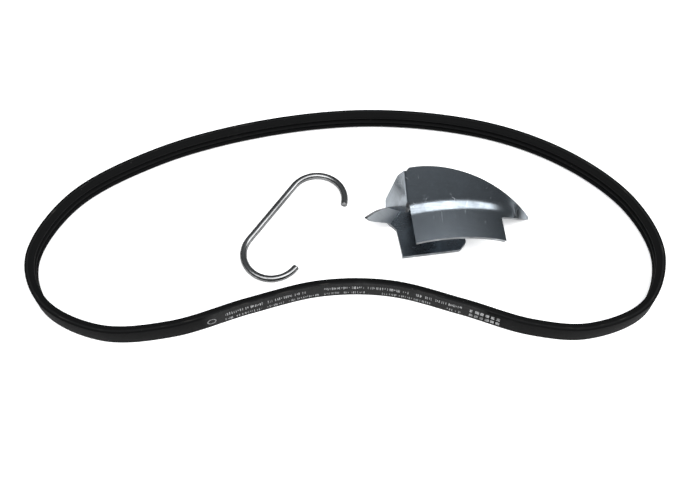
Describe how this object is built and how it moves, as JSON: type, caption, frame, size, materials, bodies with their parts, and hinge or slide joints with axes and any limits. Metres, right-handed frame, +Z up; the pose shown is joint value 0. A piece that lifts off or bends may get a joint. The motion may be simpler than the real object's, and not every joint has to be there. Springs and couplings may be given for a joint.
{
  "type": "stretch belt kit",
  "caption": "Closed ribbed elastic drive belt standing on its edge, with an open wire hook and a bent sheet-steel fitting shoe lying inside the loop.",
  "frame": {"origin": "centre of the kit's footprint, on the surface it lies on", "axes": "+X along the long way of the belt's loop, +Y away from the side of the loop that dips inwards, +Z up, across the belt's width"},
  "size_m": [0.3185, 0.1334, 0.0417],
  "materials": {
    "belt_back_rubber": "matt black, ground smooth, with worn grey marking rows",
    "belt_cord_rubber": "cut edge with the pale ends of the tension cords",
    "belt_rib_rubber": "matt black, ground flanks with fine fibre",
    "plated_wire": "drawn wire, bright zinc plated",
    "plated_guide_sheet": "pressed sheet, blue-grey zinc plated, satin",
    "plated_base_sheet": "pressed sheet, blue-grey zinc plated, satin"
  },
  "bodies": {
    "belt": {"belt_backing": "belt_back_rubber", "belt_cord_layer": "belt_cord_rubber", "belt_ribs": "belt_rib_rubber"},
    "hook": {"wire_hook": "plated_wire"},
    "shoe": {"shoe_guide": "plated_guide_sheet", "shoe_base": "plated_base_sheet"}
  },
  "joints": [
    {"name": "hook_lift", "type": "slide", "parent": "belt", "child": "hook", "axis": [0, 0, 1], "range_m": [0, 0.06]},
    {"name": "shoe_lift", "type": "slide", "parent": "belt", "child": "shoe", "axis": [0, 0, 1], "range_m": [0, 0.06]}
  ]
}
